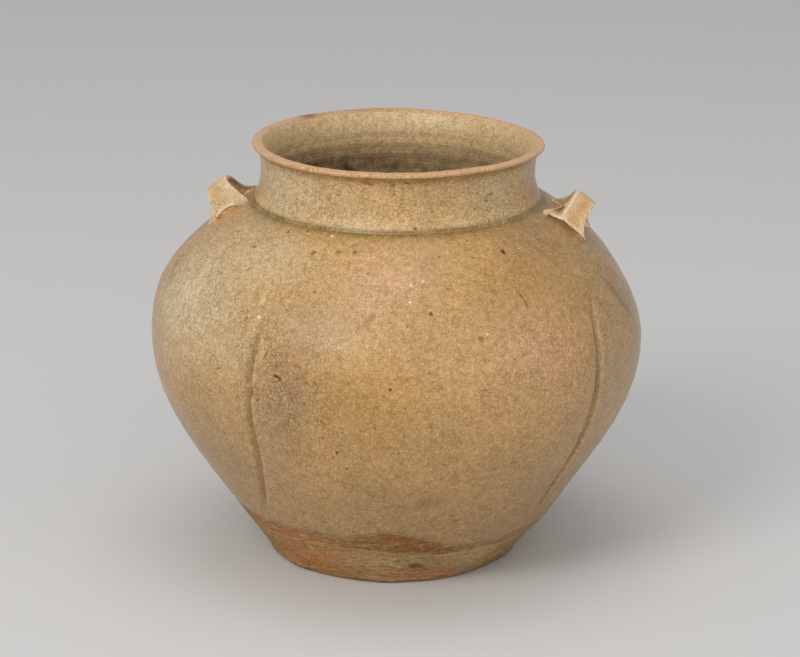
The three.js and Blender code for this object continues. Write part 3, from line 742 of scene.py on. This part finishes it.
def add_loop(
    name, side, loop_radius, rise, near_spread, far_spread, ochre, scoop, bare_below, edge_at, edge_lift
):
    """Builds the loop on one side of the jar, at a distance from its axis.

    near_spread and far_spread are how far the uphill edge of that foot spreads, in millimetres, and a power
    that says how close to the foot it turns out. ochre is how ochre the face is, scoop how deep a thumb
    pressed into the near foot, and bare_below how bare the clay below that foot is. edge_lift is how far its
    lower edge lifts off the shoulder at the places edge_at across the strap, in millimetres from uphill to
    downhill.
    """
    nearest = np.argmin(np.abs(outer_wall[:, 0] - loop_radius) + (outer_wall[:, 1] < belly_height))
    slope = np.arctan2(tangent[nearest, 1], -tangent[nearest, 0])
    middle = np.array([side * loop_radius, 0, outer_wall[nearest, 1]])

    # turn runs along the strap from foot to foot, with its ends buried in the shoulder. ring runs round the
    # strap, the other way on the left, so that both skins face outwards. share is the place across the
    # strap, from -1 uphill to 1 downhill, and face is 1 on its outside and -1 under it.
    buried = 3.5 * MM / rise
    turn = np.linspace(-buried, np.pi + buried, points_along)[:, None]
    ring = np.linspace(0, 2 * np.pi, points_across, endpoint=False)[None, ::side]
    share = np.sign(np.cos(ring)) * np.abs(np.cos(ring)) ** 0.6
    face = np.sign(np.sin(ring)) * np.abs(np.sin(ring)) ** 0.7
    is_face = face > 0
    near = np.cos(turn) > 0
    down = 1 - np.clip(np.sin(turn), 0, 1)
    near_uphill, far_uphill = (spread * down**power for spread, power in (near_spread, far_spread))
    uphill = np.where(near, near_uphill, far_uphill) * MM
    across = share * (crest_half_width + np.where(share > 0, downhill_spread * down**3.5, uphill))
    above_foot = np.clip(np.sin(turn), -1, 1) * rise

    # The foot's lower edge is a soft rolled ridge that stands off the wall, with a painted highlight on it
    # and painted shadow in the gap below it
    edge_height = np.interp(across / MM, edge_at, edge_lift) * MM
    ridge = bell(above_foot, edge_height + 0.5 * MM, 0.6 * MM) * near * (edge_height > 0)
    gap_shadow = (1 - ease(above_foot, edge_height - 0.5 * MM, edge_height)) * near * (edge_height > 0.1 * MM)

    # The scoop lies uphill of a ridge that runs straight down, and opens upwards like a small ear
    past_ridge = scoop * near * ease(-across, 4.3 * MM, 5.6 * MM)
    ear = past_ridge * ease(above_foot, edge_height, edge_height + 2.5 * MM)
    pocket = ear * ease(share, -0.98, -0.86)
    fold = scoop * near * bell(across, -3.9 * MM, 0.8 * MM) * ease(above_foot, 0, 2 * MM)

    out = face * (strap_thickness / 2 + edge_bead / 2 * share**6)
    out = out + is_face * face * MM * (0.6 * ridge - (0.8 + 0.4 * scoop) * gap_shadow + 0.5 * fold)
    out = out - (1.6 * ear + 1.9 * pocket) * MM
    outward = np.stack([-np.cos(turn) / half_span, np.sin(turn) / rise], axis=2)
    outward /= np.linalg.norm(outward, axis=2)[:, :, None]
    along = -np.cos(turn) * (half_span + toe * down**3.5) + outward[:, :, 0] * out
    lift = rise * np.sin(turn) + outward[:, :, 1] * out
    points = (
        middle
        + across[:, :, None] * np.array([side * np.cos(slope), 0, -np.sin(slope)])
        + along[:, :, None] * np.array([0, 1, 0])
        + lift[:, :, None] * np.array([side * np.sin(slope), 0, np.cos(slope)])
    )

    # The far leg of the left loop lies in the near leg's shadow, painted browner, with less painted highlight
    # and painted light
    far_leg_shadow = (side < 0) * ease(-np.cos(turn), 0.2, 0.7)
    loop_masks = {
        # Painted highlight along the strap's edges, its rolled ridge and its fold
        "edge": (np.abs(share) ** 6 * (1 - far_leg_shadow) + (0.8 * ridge + fold) * is_face).clip(0, 1),
        "ochre": ochre * bell(share, 0.15, 0.55) * is_face,
        "dent": pocket * is_face,
        # Painted light on the strap's shaded underside
        "painted_light_under": (face < -0.2) * (1 - 0.6 * far_leg_shadow),
        "smear": (side < 0) * down**1.5 * (1 - ridge) * is_face,
        # Painted shadow in the gap under the foot's edge, and on the uphill side of the left loop's far leg
        "gap_shadow": gap_shadow * (1 - 0.6 * bare_below) * is_face + 0.8 * far_leg_shadow * ease(-share, 0.5, 0.9),
        "bare": gap_shadow * bare_below * bell(across, -1.2 * MM, 2.4 * MM) * is_face,
    }
    loop = skin("strap_" + name, points, loop_masks)
    loop.data.materials.append(loop_glaze)
    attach(loop, "root")
    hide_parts(name)


add_loop(
    "loop_right", side=1, loop_radius=71.8 * MM, rise=11.2 * MM,
    near_spread=(6.6, 2.6), far_spread=(4.8, 3.5), ochre=0.9, scoop=1.0, bare_below=0.0,
    edge_at=[-10, -7.0, -4.1, -2.2, 0.8, 3.2, 8.2, 10], edge_lift=[0, 0.3, 0.8, 1.3, 0.9, 1.0, 0.6, 0],
)
add_loop(
    "loop_left", side=-1, loop_radius=70.0 * MM, rise=10.8 * MM,
    near_spread=(5.6, 1.0), far_spread=(4.6, 5.0), ochre=0.3, scoop=0.0, bare_below=1.0,
    edge_at=[-6.0, -4.4, -2.5, -0.6, 1.5, 3.3, 5.0], edge_lift=[0, 0.6, 1.1, 1.3, 1.1, 0.6, 0],
)

# Floor
# A seamless sheet of matt pale grey paper, flat under the jar and rising all round far from it.
sheet = np.array([[0.02, 0], [0.2, 0], [0.6, 0], [1.2, 0], [2.4, 0], [3.2, 0.15], [3.8, 0.7], [4.0, 1.6]])
around_sheet = np.linspace(0, 360, 96, endpoint=False)[None, :]
floor = skin("seamless_floor", ring_points(sheet[:, :1], around_sheet, sheet[:, 1:]), open_end=True)
paper, tree, space = new_material("matt_grey_paper")
finish_surface(tree, linear("#d4d3d1"), 0.95, 0.0, 0.0)
floor.data.materials.append(paper)

# Camera
# A long lens a little above the mouth, as the photograph was taken. Angles are in degrees, the lens and its
# sensor in millimetres, and the rest is in metres.
VIEW_AZIMUTH = 7.75
VIEW_ELEVATION = 16.99
VIEW_DISTANCE = 1.339
AIM_RIGHT = 0.0011
AIM_HEIGHT = 0.09478
LENS = 142.8
SENSOR_WIDTH = 36
azimuth = np.radians(VIEW_AZIMUTH)
elevation = np.radians(VIEW_ELEVATION)
target = Vector((AIM_RIGHT * np.cos(azimuth), AIM_RIGHT * np.sin(azimuth), AIM_HEIGHT))
towards_camera = Vector((
    np.sin(azimuth) * np.cos(elevation),
    -np.cos(azimuth) * np.cos(elevation),
    np.sin(elevation),
))
lens = bpy.data.cameras.new("camera")
lens.sensor_width = SENSOR_WIDTH
lens.lens = LENS
camera = bpy.data.objects.new("camera", lens)
camera.location = target + VIEW_DISTANCE * towards_camera
camera.rotation_euler = towards_camera.to_track_quat("Z", "Y").to_euler()
bpy.context.scene.collection.objects.link(camera)
bpy.context.scene.camera = camera

# Lights
# Large soft boxes in a pale room, each with its place and its width in metres and its power in watts: the
# main one in front and to the left, a weaker one on the right, one overhead and one in front.
AIMED_AT = Vector((0, 0, 0.08))
for name, place, width, power in (
    ("soft_box_left", (-0.75, -1.4, 1.3), 0.8, 14.5),
    ("soft_box_right", (1.4, -1.0, 0.9), 1.2, 3),
    ("soft_box_top", (0.0, -0.1, 1.7), 1.0, 4),
    ("soft_box_front", (0.4, -1.9, 1.0), 1.0, 5),
):
    lamp = bpy.data.lights.new(name, "AREA")
    lamp.size = width
    lamp.energy = power
    box = bpy.data.objects.new(name, lamp)
    box.location = place
    box.rotation_euler = (AIMED_AT - box.location).to_track_quat("-Z", "Y").to_euler()
    bpy.context.scene.collection.objects.link(box)

world = bpy.data.worlds.new("studio")
world.use_nodes = True
room = world.node_tree.nodes["Background"].inputs
room["Color"].default_value = linear("#e6e6e8")
room["Strength"].default_value = 0.67
bpy.context.scene.world = world
bpy.context.scene.view_settings.view_transform = "Standard"
